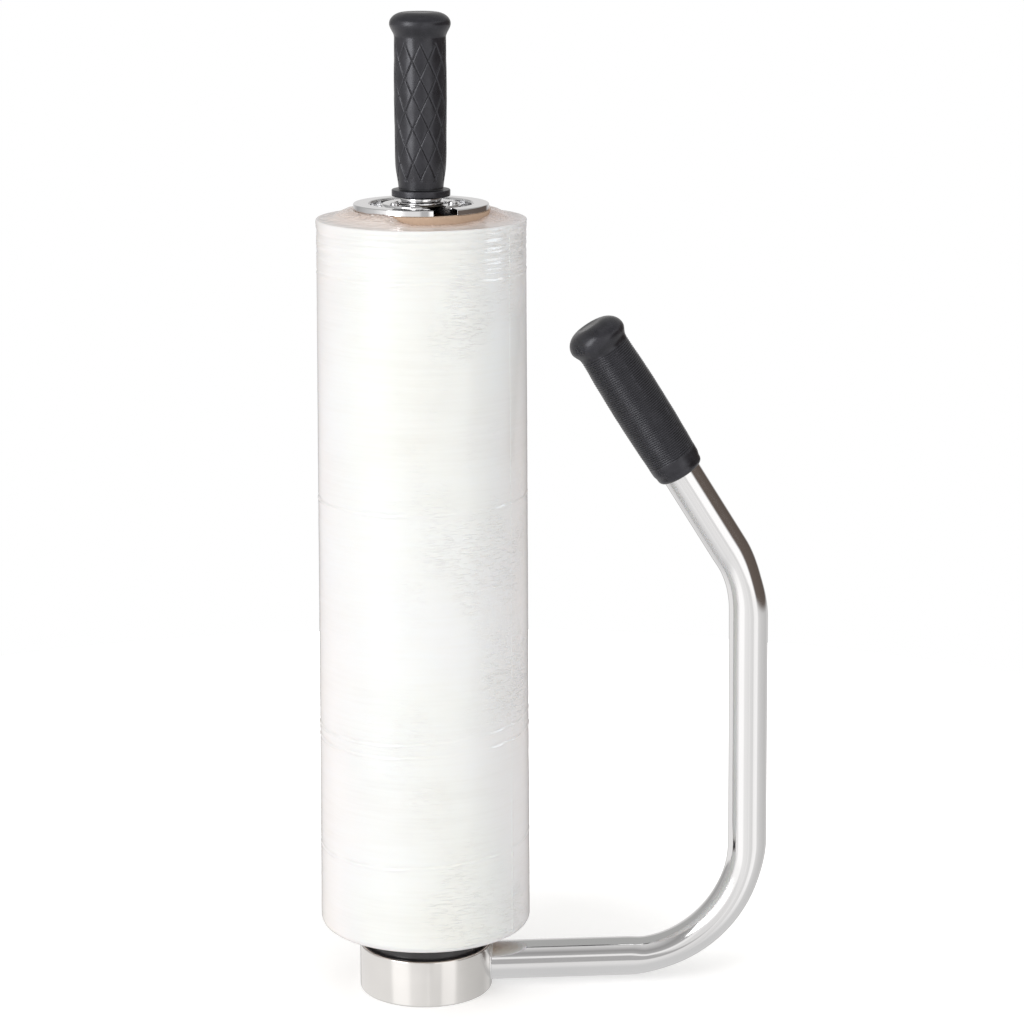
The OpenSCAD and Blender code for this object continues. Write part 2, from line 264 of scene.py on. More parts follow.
def lathe_polished(name, tint, roughness):
    """Fine rings round the axis draw reflections out along it."""
    s = Shader(name, Metallic=1.0)
    rings = s.noise(s.stretched(4, 4, 2600), 1.0, 3, 0.7)
    fine = s.ramp(rings, [(0.3, roughness * 0.8), (0.75, roughness * 1.4)])
    wipe = s.noise(s.stretched(25, 25, 60), 1.0, 4)
    colour = s.mix(wipe, tint, tuple(c * 0.9 for c in tint))
    tangent = s.node("ShaderNodeTangent", {"direction_type": "RADIAL", "axis": "Z"}).outputs[0]
    normal = s.bump(rings, 0.004 * MM, 0.35, s.rounded(0.3 * MM))
    return s.out(Base_Color=colour, Roughness=fine, Normal=normal, Tangent=tangent,
                 Anisotropic=0.75, Anisotropic_Rotation=0.25)


def grip_rubber():
    s = Shader("grip_rubber", Specular_IOR_Level=0.55, Specular_Tint=(0.93, 0.94, 1.0, 1))
    grain = s.noise(s.place, 2200, 2, 0.5)
    cloud = s.noise(s.place, 45, 3)
    dust = s.ramp(s.noise(s.place, 150, 6, 0.7), [(0.44, 0.0), (0.74, 1.0)])
    clean = s.mix(cloud, (0.009, 0.0085, 0.012), (0.018, 0.017, 0.023))
    dusty = s.mix(dust, clean, (0.075, 0.072, 0.088))
    # Painted light: the crests are painted lighter as a highlight and the grooves painted near-black as
    # shade
    crest_light_groove_shade = s.ramp(s.geometry("Pointiness"), [(0.44, 0.0), (0.5, 0.32), (0.56, 1.0)])
    colour = s.mix(crest_light_groove_shade, (0.003, 0.003, 0.004), s.mix(crest_light_groove_shade, dusty, (0.046, 0.045, 0.055)))
    rough = s.ramp(s.noise(s.place, 110, 4, 0.6), [(0.3, 0.23), (0.75, 0.40)])
    normal = s.bump(grain, 0.006 * MM, 0.25, s.bump(cloud, 0.3 * MM, 0.4))
    return s.out(Base_Color=colour, Roughness=rough, Normal=normal)


def black_moulding():
    s = Shader("black_moulding", Specular_IOR_Level=0.55)
    flow = s.noise(s.stretched(60, 60, 8), 1.0, 3)
    rough = s.ramp(flow, [(0.3, 0.12), (0.8, 0.3)])
    colour = s.mix(flow, (0.020, 0.019, 0.021), (0.036, 0.034, 0.037))
    normal = s.bump(s.noise(s.place, 900, 3), 0.01 * MM, 0.5, s.rounded(0.4 * MM))
    return s.out(Base_Color=colour, Roughness=rough, Normal=normal)


def wound_film():
    core_r, wall = 43 * MM, 23 * MM
    s = Shader("wound_film", Specular_IOR_Level=0.5, Coat_Weight=0.7, Coat_Roughness=0.09,
               Coat_IOR=1.5, Thin_Film_IOR=1.38)
    x, y, _ = s.node("ShaderNodeSeparateXYZ", Vector=s.place).outputs
    radius = s.math("SQRT", s.math("ADD", s.math("MULTIPLY", x, x), s.math("MULTIPLY", y, y)))
    # Wound layers: long streaks round the roll on its side, and rings on its end faces
    side = s.noise(s.stretched(20, 20, 460), 1.0, 4, 0.65)
    broad = s.noise(s.stretched(9, 9, 20), 1.0, 3)
    streaks = s.math("ADD", s.math("MULTIPLY", side, 0.35), s.math("MULTIPLY", broad, 0.65))
    side_colour = s.ramp(streaks, [(0.3, (0.89, 0.875, 0.85)), (0.5, (0.935, 0.925, 0.905)),
                                   (0.7, (0.95, 0.948, 0.945))])
    spread = s.node("ShaderNodeCombineXYZ", X=s.math("DIVIDE", x, radius),
                    Y=s.math("DIVIDE", y, radius), Z=s.math("MULTIPLY", radius, 1100.0)).outputs[0]
    layers = s.noise(spread, 1.3, 4, 0.6)
    # The board's colour shows through the end faces close to the core
    outward = s.math("DIVIDE", s.math("SUBTRACT", radius, core_r), wall)
    ringed = s.math("ADD", outward, s.math("MULTIPLY", s.math("SUBTRACT", layers, 0.5), 0.6))
    end_colour = s.ramp(ringed, [(0.0, (0.66, 0.53, 0.45)), (0.35, (0.80, 0.69, 0.62)),
                                 (0.8, (0.89, 0.84, 0.80)), (1.0, (0.97, 0.96, 0.95))])
    facing = s.node("ShaderNodeSeparateXYZ", Vector=s.geometry("Normal"))
    is_end = s.ramp(s.math("ABSOLUTE", facing.outputs[2]), [(0.45, 0.0), (0.85, 1.0)])
    colour = s.mix(is_end, side_colour, end_colour)
    # Creases catch a little shadow on their hollow side
    hollow = s.ramp(s.geometry("Pointiness"), [(0.42, 1.0), (0.495, 0.0)])
    colour = s.mix(s.math("MULTIPLY", hollow, 0.5), colour, (0.55, 0.53, 0.50))
    sheen = s.math("MULTIPLY_ADD", s.noise(s.stretched(9, 9, 5), 1.0, 2), 160.0, 300.0)
    rough = s.ramp(broad, [(0.3, 0.30), (0.7, 0.42)])
    # Crumpled film on the end faces, close to the core
    near_core = s.math("MULTIPLY", is_end, s.ramp(outward, [(0.15, 1.0), (0.6, 0.0)]))
    folds = s.math("MULTIPLY", s.noise(s.place, 330, 3, 0.55), near_core)
    rough = s.mix(near_core, rough, (0.16, 0.16, 0.16))
    # Short slanting wrinkles in the outer layers, in patches
    slope = s.node("ShaderNodeMapping", Vector=s.place, Rotation=(0, 0.45, 0),
                   Scale=(170, 170, 1300)).outputs[0]
    patch = s.ramp(s.noise(s.stretched(16, 16, 11), 1.0, 3), [(0.47, 0.0), (0.6, 1.0)])
    # They are deepest on the front, towards the arm
    towards = s.math("DIVIDE", s.math("MULTIPLY_ADD", y, -0.6, s.math("MULTIPLY", x, 0.8)), radius)
    patch = s.math("MULTIPLY", patch, s.ramp(towards, [(0.15, 0.25), (0.6, 1.0)]))
    wrinkles = s.math("MULTIPLY", s.ramp(s.noise(slope, 1.0, 3), [(0.52, 0.0), (0.7, 1.0)]), patch)
    layered = s.math("MAXIMUM", side, s.math("MULTIPLY", layers, is_end))
    layering = s.bump(layered, 0.08 * MM, 0.3)
    normal = s.bump(folds, 1.6 * MM, 0.8, s.bump(wrinkles, 0.4 * MM, 0.7, layering))
    return s.out(Base_Color=colour, Roughness=rough, Normal=normal, Thin_Film_Thickness=sheen,
                 Subsurface_Weight=0.2, Subsurface_Radius=(1.0, 0.9, 0.8), Subsurface_Scale=4 * MM)


def core_board():
    s = Shader("core_board", Roughness=0.85, Specular_IOR_Level=0.25)
    fibre = s.noise(s.stretched(900, 900, 260), 1.0, 5, 0.7)
    blotch = s.noise(s.place, 60, 3)
    colour = s.mix(s.math("MULTIPLY_ADD", fibre, 0.6, s.math("MULTIPLY", blotch, 0.4)),
                   (0.50, 0.35, 0.25), (0.70, 0.53, 0.40))
    normal = s.bump(fibre, 0.08 * MM, 0.6, s.rounded(0.4 * MM))
    return s.out(Base_Color=colour, Normal=normal)


def plain_steel(name, tint, roughness, grain=700):
    s = Shader(name, Metallic=1.0)
    scratch = s.noise(s.stretched(grain, grain, grain * 3), 1.0, 4, 0.7)
    rough = s.ramp(scratch, [(0.3, roughness * 0.8), (0.8, roughness * 1.3)])
    colour = s.mix(s.noise(s.place, 120, 3), tint, tuple(c * 0.85 for c in tint))
    normal = s.bump(scratch, 0.006 * MM, 0.5, s.rounded(0.2 * MM))
    return s.out(Base_Color=colour, Roughness=rough, Normal=normal)


def friction_lining():
    s = Shader("friction_lining", Roughness=0.9)
    fleck = s.noise(s.place, 1800, 4, 0.8)
    colour = s.ramp(fleck, [(0.4, (0.05, 0.045, 0.04)), (0.7, (0.2, 0.17, 0.14))])
    return s.out(Base_Color=colour, Normal=s.bump(fleck, 0.05 * MM, 0.6))


# By material slot of the record
FINISHES = {
    "cup_steel": lathe_polished("cup_steel", (0.80, 0.785, 0.765), 0.17),
    "chromed_tube": chrome("chromed_tube", (0.80, 0.80, 0.805), 0.06, 0),
    "disc_chrome": chrome("disc_chrome", (0.82, 0.82, 0.83), 0.045, 0.35 * MM),
    "grip_rubber": grip_rubber(),
    "black_plastic": black_moulding(),
    "stretch_film": wound_film(),
    "core_board": core_board(),
    "turned_steel": plain_steel("zinc_plate", (0.62, 0.62, 0.63), 0.3),
    "bearing_steel": plain_steel("bearing_steel", (0.70, 0.70, 0.72), 0.14),
    "spring_steel": plain_steel("spring_steel", (0.42, 0.42, 0.44), 0.3),
    "blackened_steel": plain_steel("blackened_steel", (0.07, 0.07, 0.075), 0.38),
    "cage_brass": plain_steel("cage_brass", (0.78, 0.60, 0.30), 0.28),
    "friction_lining": friction_lining(),
}


def paint_cad_nodes():
    slots = {s["node"]: s["material_slot"] for s in frame["record"]["subparts"]}
    for name, node in frame["nodes"].items():
        node.data.materials.clear()
        node.data.materials.append(FINISHES[slots[name]])


# ---- Film roll ----

# Long creases round the roll: share of its height, and how far each dips across it in mm
CREASES = [(0.128, 4.0), (0.285, 3.0), (0.305, 4.5), (0.62, 1.5), (0.93, 1.0)]
# How far the film's end stands up against the core, in mm, by bearing in degrees. It is loose
# and gathered behind and to the left of the camera's side, and flat across the front.
GATHER = [(-180, 5.75), (-132, 5.8), (-119, 5.6), (-107, 2.2), (-98, 1.1), (-60, 0.9), (-42, 1.8),
          (-24, 3.3), (-8, 5.2), (12, 5.7), (90, 5.7), (180, 5.75)]


def gathered(a):
    bearing = (a * 180 / pi + 180) % 360 - 180
    for (b0, h0), (b1, h1) in zip(GATHER, GATHER[1:]):
        if bearing <= b1:
            return lerp(h0, h1, smooth((bearing - b0) / (b1 - b0)))
    return GATHER[-1][1]


def film_roll():
    bottom, top = low("film_roll").z - 1.3 * MM, high("film_roll").z
    height = top - bottom
    core_r = outer_radius("roll_core") + 0.05 * MM
    low_r = outer_radius("film_roll")
    top_r = low_r - 2.8 * MM
    soft, lip, overlap = 5 * MM, 1.1 * MM, 0.95 * MM
    # The topmost stretch, where the layers' edges show as rings
    ringed = 34 * MM
    # Points this close to a level count as on it
    near = 0.01 * MM
    # Where the film ends, and the height below which its end is crinkled
    tail, crinkle_top = radians(-38), 170 * MM
    edge_z, lip_z = bottom + soft, top - lip

    def side_r(z):
        return lerp(low_r, top_r, (z - bottom) / height)

    def layer_edges(ring, r):
        return noise.noise(ring * 1.5 + Vector((0, 0, r * 1400)))

    def core_edge(r, z, a):
        """Where the film is gathered it also folds over the core's end, up to the disc."""
        fold_from, fold_top = 4.6, 5.6
        inside = r < core_r - near
        over = smooth((gathered(a) - fold_from) / 0.7) if inside else 0.0
        rise = lerp(gathered(a), fold_top, over) if z >= top - near else 0.0
        return lerp(core_r, r, over), z + rise * MM

    def top_face(r, z, a):
        """The layers' edges, and crumpled film that climbs the core where it is loose."""
        ring = Vector((cos(a), sin(a), 0))
        out = min(1.0, (r - core_r) / (top_r - lip - core_r))
        fold = noise.noise(Vector((cos(a) * 7 + r * 160, sin(a) * 7, r * 300)))
        crease = abs(noise.noise(Vector((cos(a) * 16, sin(a) * 16, r * 500)))) ** 0.7
        loose = smooth((gathered(a) - 1.4) / 2.5) * smooth(out * 14)
        # The crumples are deepest round one bearing
        deepest, reach = radians(-124) % TURN, radians(42)
        front = smooth(1 - abs(a - deepest) / reach)
        crumple = (0.5 - crease) * (0.4 + 1.9 * front) * (1 - out) ** 1.6
        lift = 0.14 * layer_edges(ring, r) + loose * (0.45 * fold + crumple)
        rise = gathered(a) * (1 - smooth(out * 1.05)) ** 1.1
        return r, z + (rise + smooth((1 - out) * 10) * lift) * MM

    def long_creases(ring, z, a):
        """A few creases that run slowly round the roll: a ridge with a hollow above it."""
        lift = 0.0
        for level, drop in CREASES:
            off = (z - level * height - bottom) / MM - drop * sin(a + 1.2) - 1.2 * noise.noise(ring * 4)
            depth = 0.6 + noise.noise(ring * 5 + Vector((0, 0, level * 9)))
            ridge = 0.34 * exp(-(off / 0.7) ** 2)
            hollow = 0.26 * exp(-((off - 1.5) / 0.9) ** 2)
            lift += depth * (ridge - hollow)
        return lift

    def loose_end(r, z, a):
        """A step down across one line up the roll, crinkled near the bottom."""
        wander = (0.010 * noise.noise(Vector((0, 0, z * 25)))
                  + 0.008 * noise.noise(Vector((3, 0, z * 210))))
        behind = (a - tail - wander) % TURN
        step = 0.16 * smooth(1 - behind / 0.9) * smooth(behind / 0.01)
        across = ((a - tail - wander + pi) % TURN - pi) * r / MM
        rough = max(0.0, noise.noise(Vector((8, 0, z * 260))) + 0.25) * smooth((crinkle_top - z) / 0.04)
        return step + 0.9 * rough * exp(-(across / 0.8) ** 2)

    def side(r, z, a):
        """The roll's side: wound layers, rings near the top, creases and the loose end."""
        ring = Vector((cos(a), sin(a), 0))
        wave = noise.noise(ring * 1.1 + Vector((0, 0, z * 260)))
        ridge = noise.noise(ring * 1.5 + Vector((5, 0, z * 700)))
        wound = Vector((cos(a + z * 26), sin(a + z * 26), z * 75))
        steps = noise.noise(ring * 0.8 + Vector((2, 0, z * 420)))
        near_top = smooth((z - (top - ringed)) / (18 * MM))
        lift = 0.05 * wave + 0.04 * ridge + 0.08 * noise.noise(wound * 1.4)
        lift += near_top * (0.38 * steps + 0.18 * ridge)
        lift += long_creases(ring, z, a) + loose_end(r, z, a)
        flare = 0.4 * smooth((z - (top - 7 * MM)) / (6 * MM))
        return r + (lift + flare - 0.2) * MM, z

    def shape(r, z, a):
        if r < core_r + near and z > bottom + soft:
            return core_edge(r, z, a)
        if z >= top - near:
            return top_face(r, z, a)
        if z <= bottom + 1.7 * MM and r < low_r - soft:
            return r, z + 0.15 * MM * layer_edges(Vector((cos(a), sin(a), 0)), r)
        return side(r, z, a)

    rows = spaced(edge_z, top - ringed, 240) + spaced(top - ringed, lip_z, 50)[1:]
    # Closer steps across the long creases, which are narrower than the rest
    for level, drop in CREASES:
        middle, spread = bottom + level * height, (drop + 4) * MM
        rows += spaced(middle - spread, middle + spread, round(2 * spread / (0.55 * MM)))
    rows.sort()
    outline = densified([(core_r, bottom + 1.6 * MM), (side_r(edge_z) - soft, bottom)], 1.2 * MM)
    outline += arc(side_r(edge_z) - soft, edge_z, soft, -90, 0, 10)[1:-1]
    outline += [(side_r(z), z) for z in rows]
    outline += arc(side_r(lip_z) - lip, lip_z, lip, 0, 90, 6)[1:]
    outline += densified([outline[-1], (core_r, top)], 0.4 * MM)[1:]
    outline += [(core_r - overlap, top), (core_r, top - 1 * MM)]
    # Closer steps across the loose end's line, which is much narrower than the rest
    close = spaced(tail - 0.06, tail + 0.06, 40)
    bearings = [a for a in even(320) if abs((a - tail + pi) % TURN - pi) > 0.066]
    bearings = sorted(bearings + [a % TURN for a in close])
    verts, faces = turned(outline, bearings, shape)
    return make_piece("wound_film_roll", verts, faces, "roll", "stretch_film", "film_roll")


# ---- Turned metal ----

def cup():
    r, z = outer_radius("cup_ring"), high("cup_ring").z
    bore = outer_radius("cup_floor") + 0.01 * MM
    foot, brim = 1.2 * MM, 1.3 * MM
    outline = [(bore, 0.0)] + arc(r - foot, foot, foot, -90, 0)
    outline += arc(r - brim, z - brim, brim, 0, 90) + arc(bore + brim, z - brim, brim, 90, 180)
    verts, faces = turned(outline, even(256))
    make_piece("cup_shell", verts, faces, "frame", "cup_steel", "cup_ring")


def brake_spring():
    """Six coils of round wire, closed at both ends. The real spring stretches as the handle rises; this
    one is built at one length.
    """
    coils, wire_r = 6, 0.9 * MM
    first, last = low("brake_spring").z + wire_r, high("brake_spring").z - wire_r
    coil_r = outer_radius("brake_spring") - wire_r
    closed = 1.9 * wire_r
    steps, sides = coils * 48, 14
    verts = []
    for u in spaced(0, coils, steps):
        if u < 1:
            level = first + closed * u
        elif u > coils - 1:
            level = last - closed * (coils - u)
        else:
            level = lerp(first + closed, last - closed, (u - 1) / (coils - 2))
        turn = TURN * u
        for a in even(sides):
            r = coil_r + wire_r * cos(a)
            verts.append((r * cos(turn), r * sin(turn), level + wire_r * sin(a)))
    faces = grid_faces(steps + 1, sides, False)
    faces += [tuple(range(sides)), tuple(steps * sides + k for k in range(sides))]
    spring = make_piece("spring_coil", verts, faces, None, "spring_steel", "brake_spring")
    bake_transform(spring)


# ---- Side arm ----

def arm_level():
    return low("side_arm").z + outer_radius("side_arm")


def arm_path():
    """Stations along the arm's centreline: (place, heading, ovality 0 to 1, dent 0 to 1)."""
    low_bend_r, high_bend_r = 78 * MM, 88 * MM
    low_turn, high_turn = radians(90.65), radians(31.35)
    root, upright, neck = 36 * MM, 150 * MM, 59.2 * MM
    reach = high("side_arm").x - outer_radius("side_arm") - low_bend_r
    in_grip = (GRIP_LEN - CAP - END_GAP) * MM
    straight_step, bend_step = 2.5 * MM, 1.0 * MM
    # How far into a bend the tube is fully oval, and how far its dent takes to deepen
    oval_in, dent_in = 26 * MM, 13 * MM
    # Kind, size, angle, and how far the bender pinched the inside at each end
    runs = [("straight", reach - root, 0, 0, 0), ("bend", low_bend_r, low_turn, 1.0, 0.15),
            ("straight", upright, 0, 0, 0), ("bend", high_bend_r, high_turn, 0.25, 0.7),
            ("straight", neck + in_grip, 0, 0, 0)]
    place, heading = Vector((root, 0, arm_level())), 0.0
    stations = [(place, heading, 0.0, 0.0)]
    for kind, size, angle, first_dent, last_dent in runs:
        straight = kind == "straight"
        length = size if straight else size * angle
        steps = round(length / (straight_step if straight else bend_step))
        ahead = Vector((cos(heading), 0, sin(heading)))
        inward = Vector((-sin(heading), 0, cos(heading)))
        for i in range(1, steps + 1):
            along = i / steps
            if straight:
                stations.append((place + ahead * length * along, heading, 0.0, 0.0))
                continue
            turn = angle * along
            at = place + (ahead * sin(turn) + inward * (1 - cos(turn))) * size
            from_end = min(along, 1 - along) * length
            dent = lerp(first_dent, last_dent, smooth((along - 0.15) / 0.7))
            stations.append((at, heading + turn, smooth(from_end / oval_in),
                             dent * smooth(from_end / dent_in)))
        place, heading = stations[-1][0], heading + angle
    return stations


def side_arm():
    tube_r, cup_r = outer_radius("side_arm"), outer_radius("cup_ring")
    wall, bite = 1.5 * MM, 0.2 * MM
    # Everything lower than this belongs to the stretch that meets the cup
    low_run = 40 * MM
    columns = 96

    def ring(station, radius_drop):
        at, heading, oval, dent = station
        inward = Vector((-sin(heading), 0, cos(heading)))
        side = Vector((0, 1, 0))
        points = []
        for a in even(columns):
            # A bend pinches the inside, flattens the outside most and swells the sides
            facing_in, facing_out = max(0.0, cos(a)), max(0.0, -cos(a))
            pinch = 0.8 * dent * smooth(facing_in * 1.3)
            flat = oval * (0.45 * facing_in ** 2 + 0.95 * facing_out ** 2 - 0.22 * sin(a) ** 4)
            r = tube_r - radius_drop - (pinch + flat) * MM
            points.append(at + inward * r * cos(a) + side * r * sin(a))
        return points

    stations = arm_path()
    rings = [ring(station, 0.0) for station in stations]
    rings += [ring(station, wall) for station in reversed(stations)]
    # The tube starts where its side meets the cup
    coped = []
    for x, y, z in (point for points in rings for point in points):
        start = sqrt(max(0.0, cup_r ** 2 - y ** 2)) - bite
        coped.append((max(x, start) if z < low_run else x, y, z))
    make_piece("arm_tube", coped, grid_faces(len(rings), columns, True), "frame",
               "chromed_tube", "side_arm")


def arm_weld():
    """A fillet with faint ripples along the line where tube and cup meet."""
    level = arm_level()
    cup_r, tube_r = outer_radius("cup_ring"), outer_radius("side_arm")
    around, across = 240, 12
    bead = 0.8 * MM
    verts = []
    for a in even(around):
        ripple = 1 + 0.07 * sin(a * 34) + 0.12 * noise.noise(Vector((cos(a) * 2, sin(a) * 2, 4)))
        y, z = tube_r * cos(a), level + tube_r * sin(a)
        x = sqrt(cup_r ** 2 - y * y)
        toe = Vector((x, y, z))
        along_tube = Vector((bead * ripple, 0, 0))
        off_tube = Vector((0, cos(a), sin(a))) * bead * ripple * 0.75
        verts += [tuple(toe + off_tube * cos(b) + along_tube * sin(b)) for b in even(across)]
    make_piece("weld_bead", verts, grid_faces(around, across, True), "frame", "cup_steel",
               "arm_weld", finish="chromed_tube", sharp=80)


# ---- Grips: outlines in millimetres from the closed end, depth d downwards ----

def bulb_outline(mid, neck, neck_r, face_r, edge_r, tip, steps):
    """From the end face over the bulb, widest at depth mid, and in to the neck."""
    def bulb(d):
        if d < mid:
            return face_r + (BULB_R - face_r) * sqrt(1 - ((mid - d) / mid) ** 2)
        return neck_r + (BULB_R - neck_r) * (1 + cos(pi * (d - mid) / (neck - mid))) / 2

    rounding = [mid * (1 - cos(pi / 2 * i / 16)) for i in range(17)]
    outline = [tip] + [(max(bulb(d), edge_r), d) for d in rounding]
    return outline + [(bulb(d), d) for d in spaced(mid, neck, steps)[1:]]


def barrel(d, start, end, end_r, mid_r):
    return end_r + (mid_r - end_r) * sin(pi * (d - start) / (end - start))


def dents(d, a, depth, scale):
    """Slow unevenness of a moulded surface."""
    return depth * noise.noise(Vector((cos(a), sin(a), d * 0.045)) * scale)


def grip_mesh(outline, segments, relief):
    """outline: (r, d) points from the closed end to the open one. relief(d, a, r) cuts into it."""
    rows = [(r, d, True) for r, d in outline]
    rows += [(BORE_R, outline[-1][1], False), (BORE_R, CAP, False)]
    verts = []
    for r, d, outside in rows:
        for a in even(segments):
            cut = relief(d, a, r) if outside else 0.0
            verts.append(((r - cut) * cos(a) * MM, (r - cut) * sin(a) * MM, -d * MM))
    faces = grid_faces(len(rows), segments, False)
    tip, end = len(verts), len(verts) + 1
    verts += [(0, 0, -outline[0][1] * MM), (0, 0, -CAP * MM)]
    last = (len(rows) - 1) * segments
    for k in range(segments):
        n = (k + 1) % segments
        faces += [(tip, n, k), (end, last + k, last + n)]
    return verts, faces


def side_grip():
    mid, neck, neck_r, barrel_r, foot = 9.7, 17.5, 16.35, 17.35, 104.5
    pitch, first, rib_depth = 1.43, 17.6, 0.5
    ribs = round((GRIP_LEN - 12.5 - first) / pitch)
    last = first + ribs * pitch
    samples = 8
    # The rounding of the open end, in radius and in depth
    rim_r, rim_d = 3.2, 3.5

    def wall(d):
        return barrel(min(d, foot), neck, foot, neck_r, barrel_r)

    outline = bulb_outline(mid, neck, neck_r, face_r=7, edge_r=6.6, tip=(6.0, 0.25), steps=12)
    outline += [(wall(d), d) for d in spaced(neck, first, 3)[1:3]]
    outline += [(wall(d), d) for d in spaced(first, last, ribs * samples)]
    outline += [(wall(d) - 0.8 * smooth((d - foot) / 4), d)
                for d in spaced(last, GRIP_LEN - rim_d, 8)[1:]]
    end_r = outline[-1][0]
    outline += [(end_r - rim_r * (1 - cos(b)), GRIP_LEN - rim_d * (1 - sin(b)))
                for b in spaced(0, pi / 2, 9)[1:]]

    def relief(d, a, r):
        uneven = dents(d, a, 0.16, 2.2)
        if not first <= d <= last:
            return uneven * smooth(d / 3)
        crest = (0.5 - 0.5 * cos(TURN * (d - first) / pitch)) ** 1.8
        fade = smooth((d - first) / 1.2) * smooth((last - d) / 1.2)
        return uneven + rib_depth * (1 - crest) * fade

    verts, faces = grip_mesh(outline, 160, relief)
    piece = make_piece("ribbed_grip", verts, faces, "frame", "grip_rubber", "side_grip", sharp=180)
    at, heading = arm_path()[-1][:2]
    axis = Vector((cos(heading), 0, sin(heading)))
    closed_end = at + axis * (CAP + END_GAP) * MM
    turn = Matrix.Rotation(pi / 2 - heading, 4, "Y")
    piece.data.transform(Matrix.Translation(closed_end) @ turn)


def top_grip():
    mid, neck, neck_r, barrel_r = 7.1, 15.5, 15.9, 16.35
    foot, waist, waist_r = GRIP_LEN - 12, GRIP_LEN - 5, 13.9
    flange_r, flange_t, edge = 18.2, 4.2, 0.7
    step = 0.32

    def wall(d):
        """A barrel that slims slowly downwards, then draws in to the waist."""
        r = barrel(min(d, foot), neck, foot + 16, neck_r, barrel_r) - 0.35 * smooth((d - 40) / 40)
        if d <= foot - 12:
            return r
        return lerp(r, waist_r, smooth((d - foot + 12) / (waist - foot + 14)) ** 1.3)

    outline = bulb_outline(mid, neck, neck_r, face_r=9, edge_r=8.4, tip=(7.6, 0.3), steps=14)
    outline += [(wall(d), d) for d in spaced(neck, waist, round((waist - neck) / step))[1:]]
    outline[-1] = (waist_r, waist)
    shelf = GRIP_LEN - flange_t
    outline += [(waist_r + 0.25, shelf - 0.3), (waist_r + 0.9, shelf)]
    outline += arc(flange_r - edge, shelf + edge, edge, -90, 0, 6)
    outline += arc(flange_r - edge, GRIP_LEN - edge, edge, 0, 90, 6)

    # Ten helical grooves each way make the diamonds
    starts, first, last = 10, 17.6, GRIP_LEN - 9.5
    crossing_d, crossing_a = 18.6, radians(-93)
    lead, half_width, depth = 206.0, 0.5, 0.65
    # Cosine of the angle between a groove and the grip's axis
    lean = 0.9

    def groove(d, a, r):
        deepest = 0.0
        for way in (1, -1):
            turn = (a - crossing_a + way * TURN / lead * (d - crossing_d)) * starts / TURN
            off = abs(turn - floor(turn + 0.5)) * TURN / starts * r * lean
            deepest = max(deepest, 1 - off / half_width)
        return deepest

    def relief(d, a, r):
        if d > waist:
            return 0.0
        fade = smooth((d - first) / 1.5) * smooth((last - d) / 1.5)
        return dents(d, a, 0.10, 2.0) * smooth(d / 3) + depth * groove(d, a, r) * fade

    verts, faces = grip_mesh(outline, 280, relief)
    piece = make_piece("diamond_grip", verts, faces, "top_handle", "grip_rubber", "top_grip", sharp=60)
    piece.data.transform(Matrix.Translation((0, 0, high("top_grip").z)))


# ---- Stage ----

# What polished surfaces mirror, as brightness by bearing in degrees. The cup, the upright tube
# and the disc's rim look down into the low row; the slanted tube looks into the middle one.
LOW_BANDS = [(-180, 1.0), (-157, 0.97), (-152, 1.28), (-125, 1.28), (-119, 1.04), (-92, 0.95),
             (-89.5, 1.10), (-87, 0.93), (-68, 0.86), (-64, 1.12), (-43, 1.18), (-37, 0.86),
             (-17, 0.74), (2, 0.69), (26, 0.63), (48, 0.74), (72, 0.42), (96, 0.42), (112, 0.93),
             (180, 1.0)]
MIDDLE_BANDS = [(-180, 0.7), (-152, 1.2), (-125, 1.2), (-118, 0.9), (-96, 0.9), (-92, 0.50),
                (-81, 0.50), (-78, 1.3), (-44, 1.3), (-38, 0.5), (-34, 0.15), (50, 0.12),
                (62, 0.6), (76, 0.70), (98, 0.80), (130, 0.4), (180, 0.7)]
# By the sine of the height, over the front and the top
OVERHEAD_BANDS = [(0.38, 1.05), (0.50, 1.05), (0.56, 0.50), (0.80, 0.38), (0.90, 0.55), (1.0, 0.8)]
BACK_OVERHEAD = (0.48, 0.48, 0.47)
GROUND = (0.74, 0.735, 0.73)
# Where one gives way to the next, as sines of the height, and the front to the back
LOW_TO_GROUND = (-0.45, -0.75)
LOW_TO_MIDDLE = (-0.19, -0.13)
MIDDLE_TO_OVERHEAD = (0.32, 0.38)
FRONT_TO_BACK = (-0.1, 0.1)
# What lights every dull surface, and what the camera sees behind the object
EVEN_LIGHT = (0.62, 0.613, 0.60, 1)
BACKDROP = (1, 1, 1, 1)


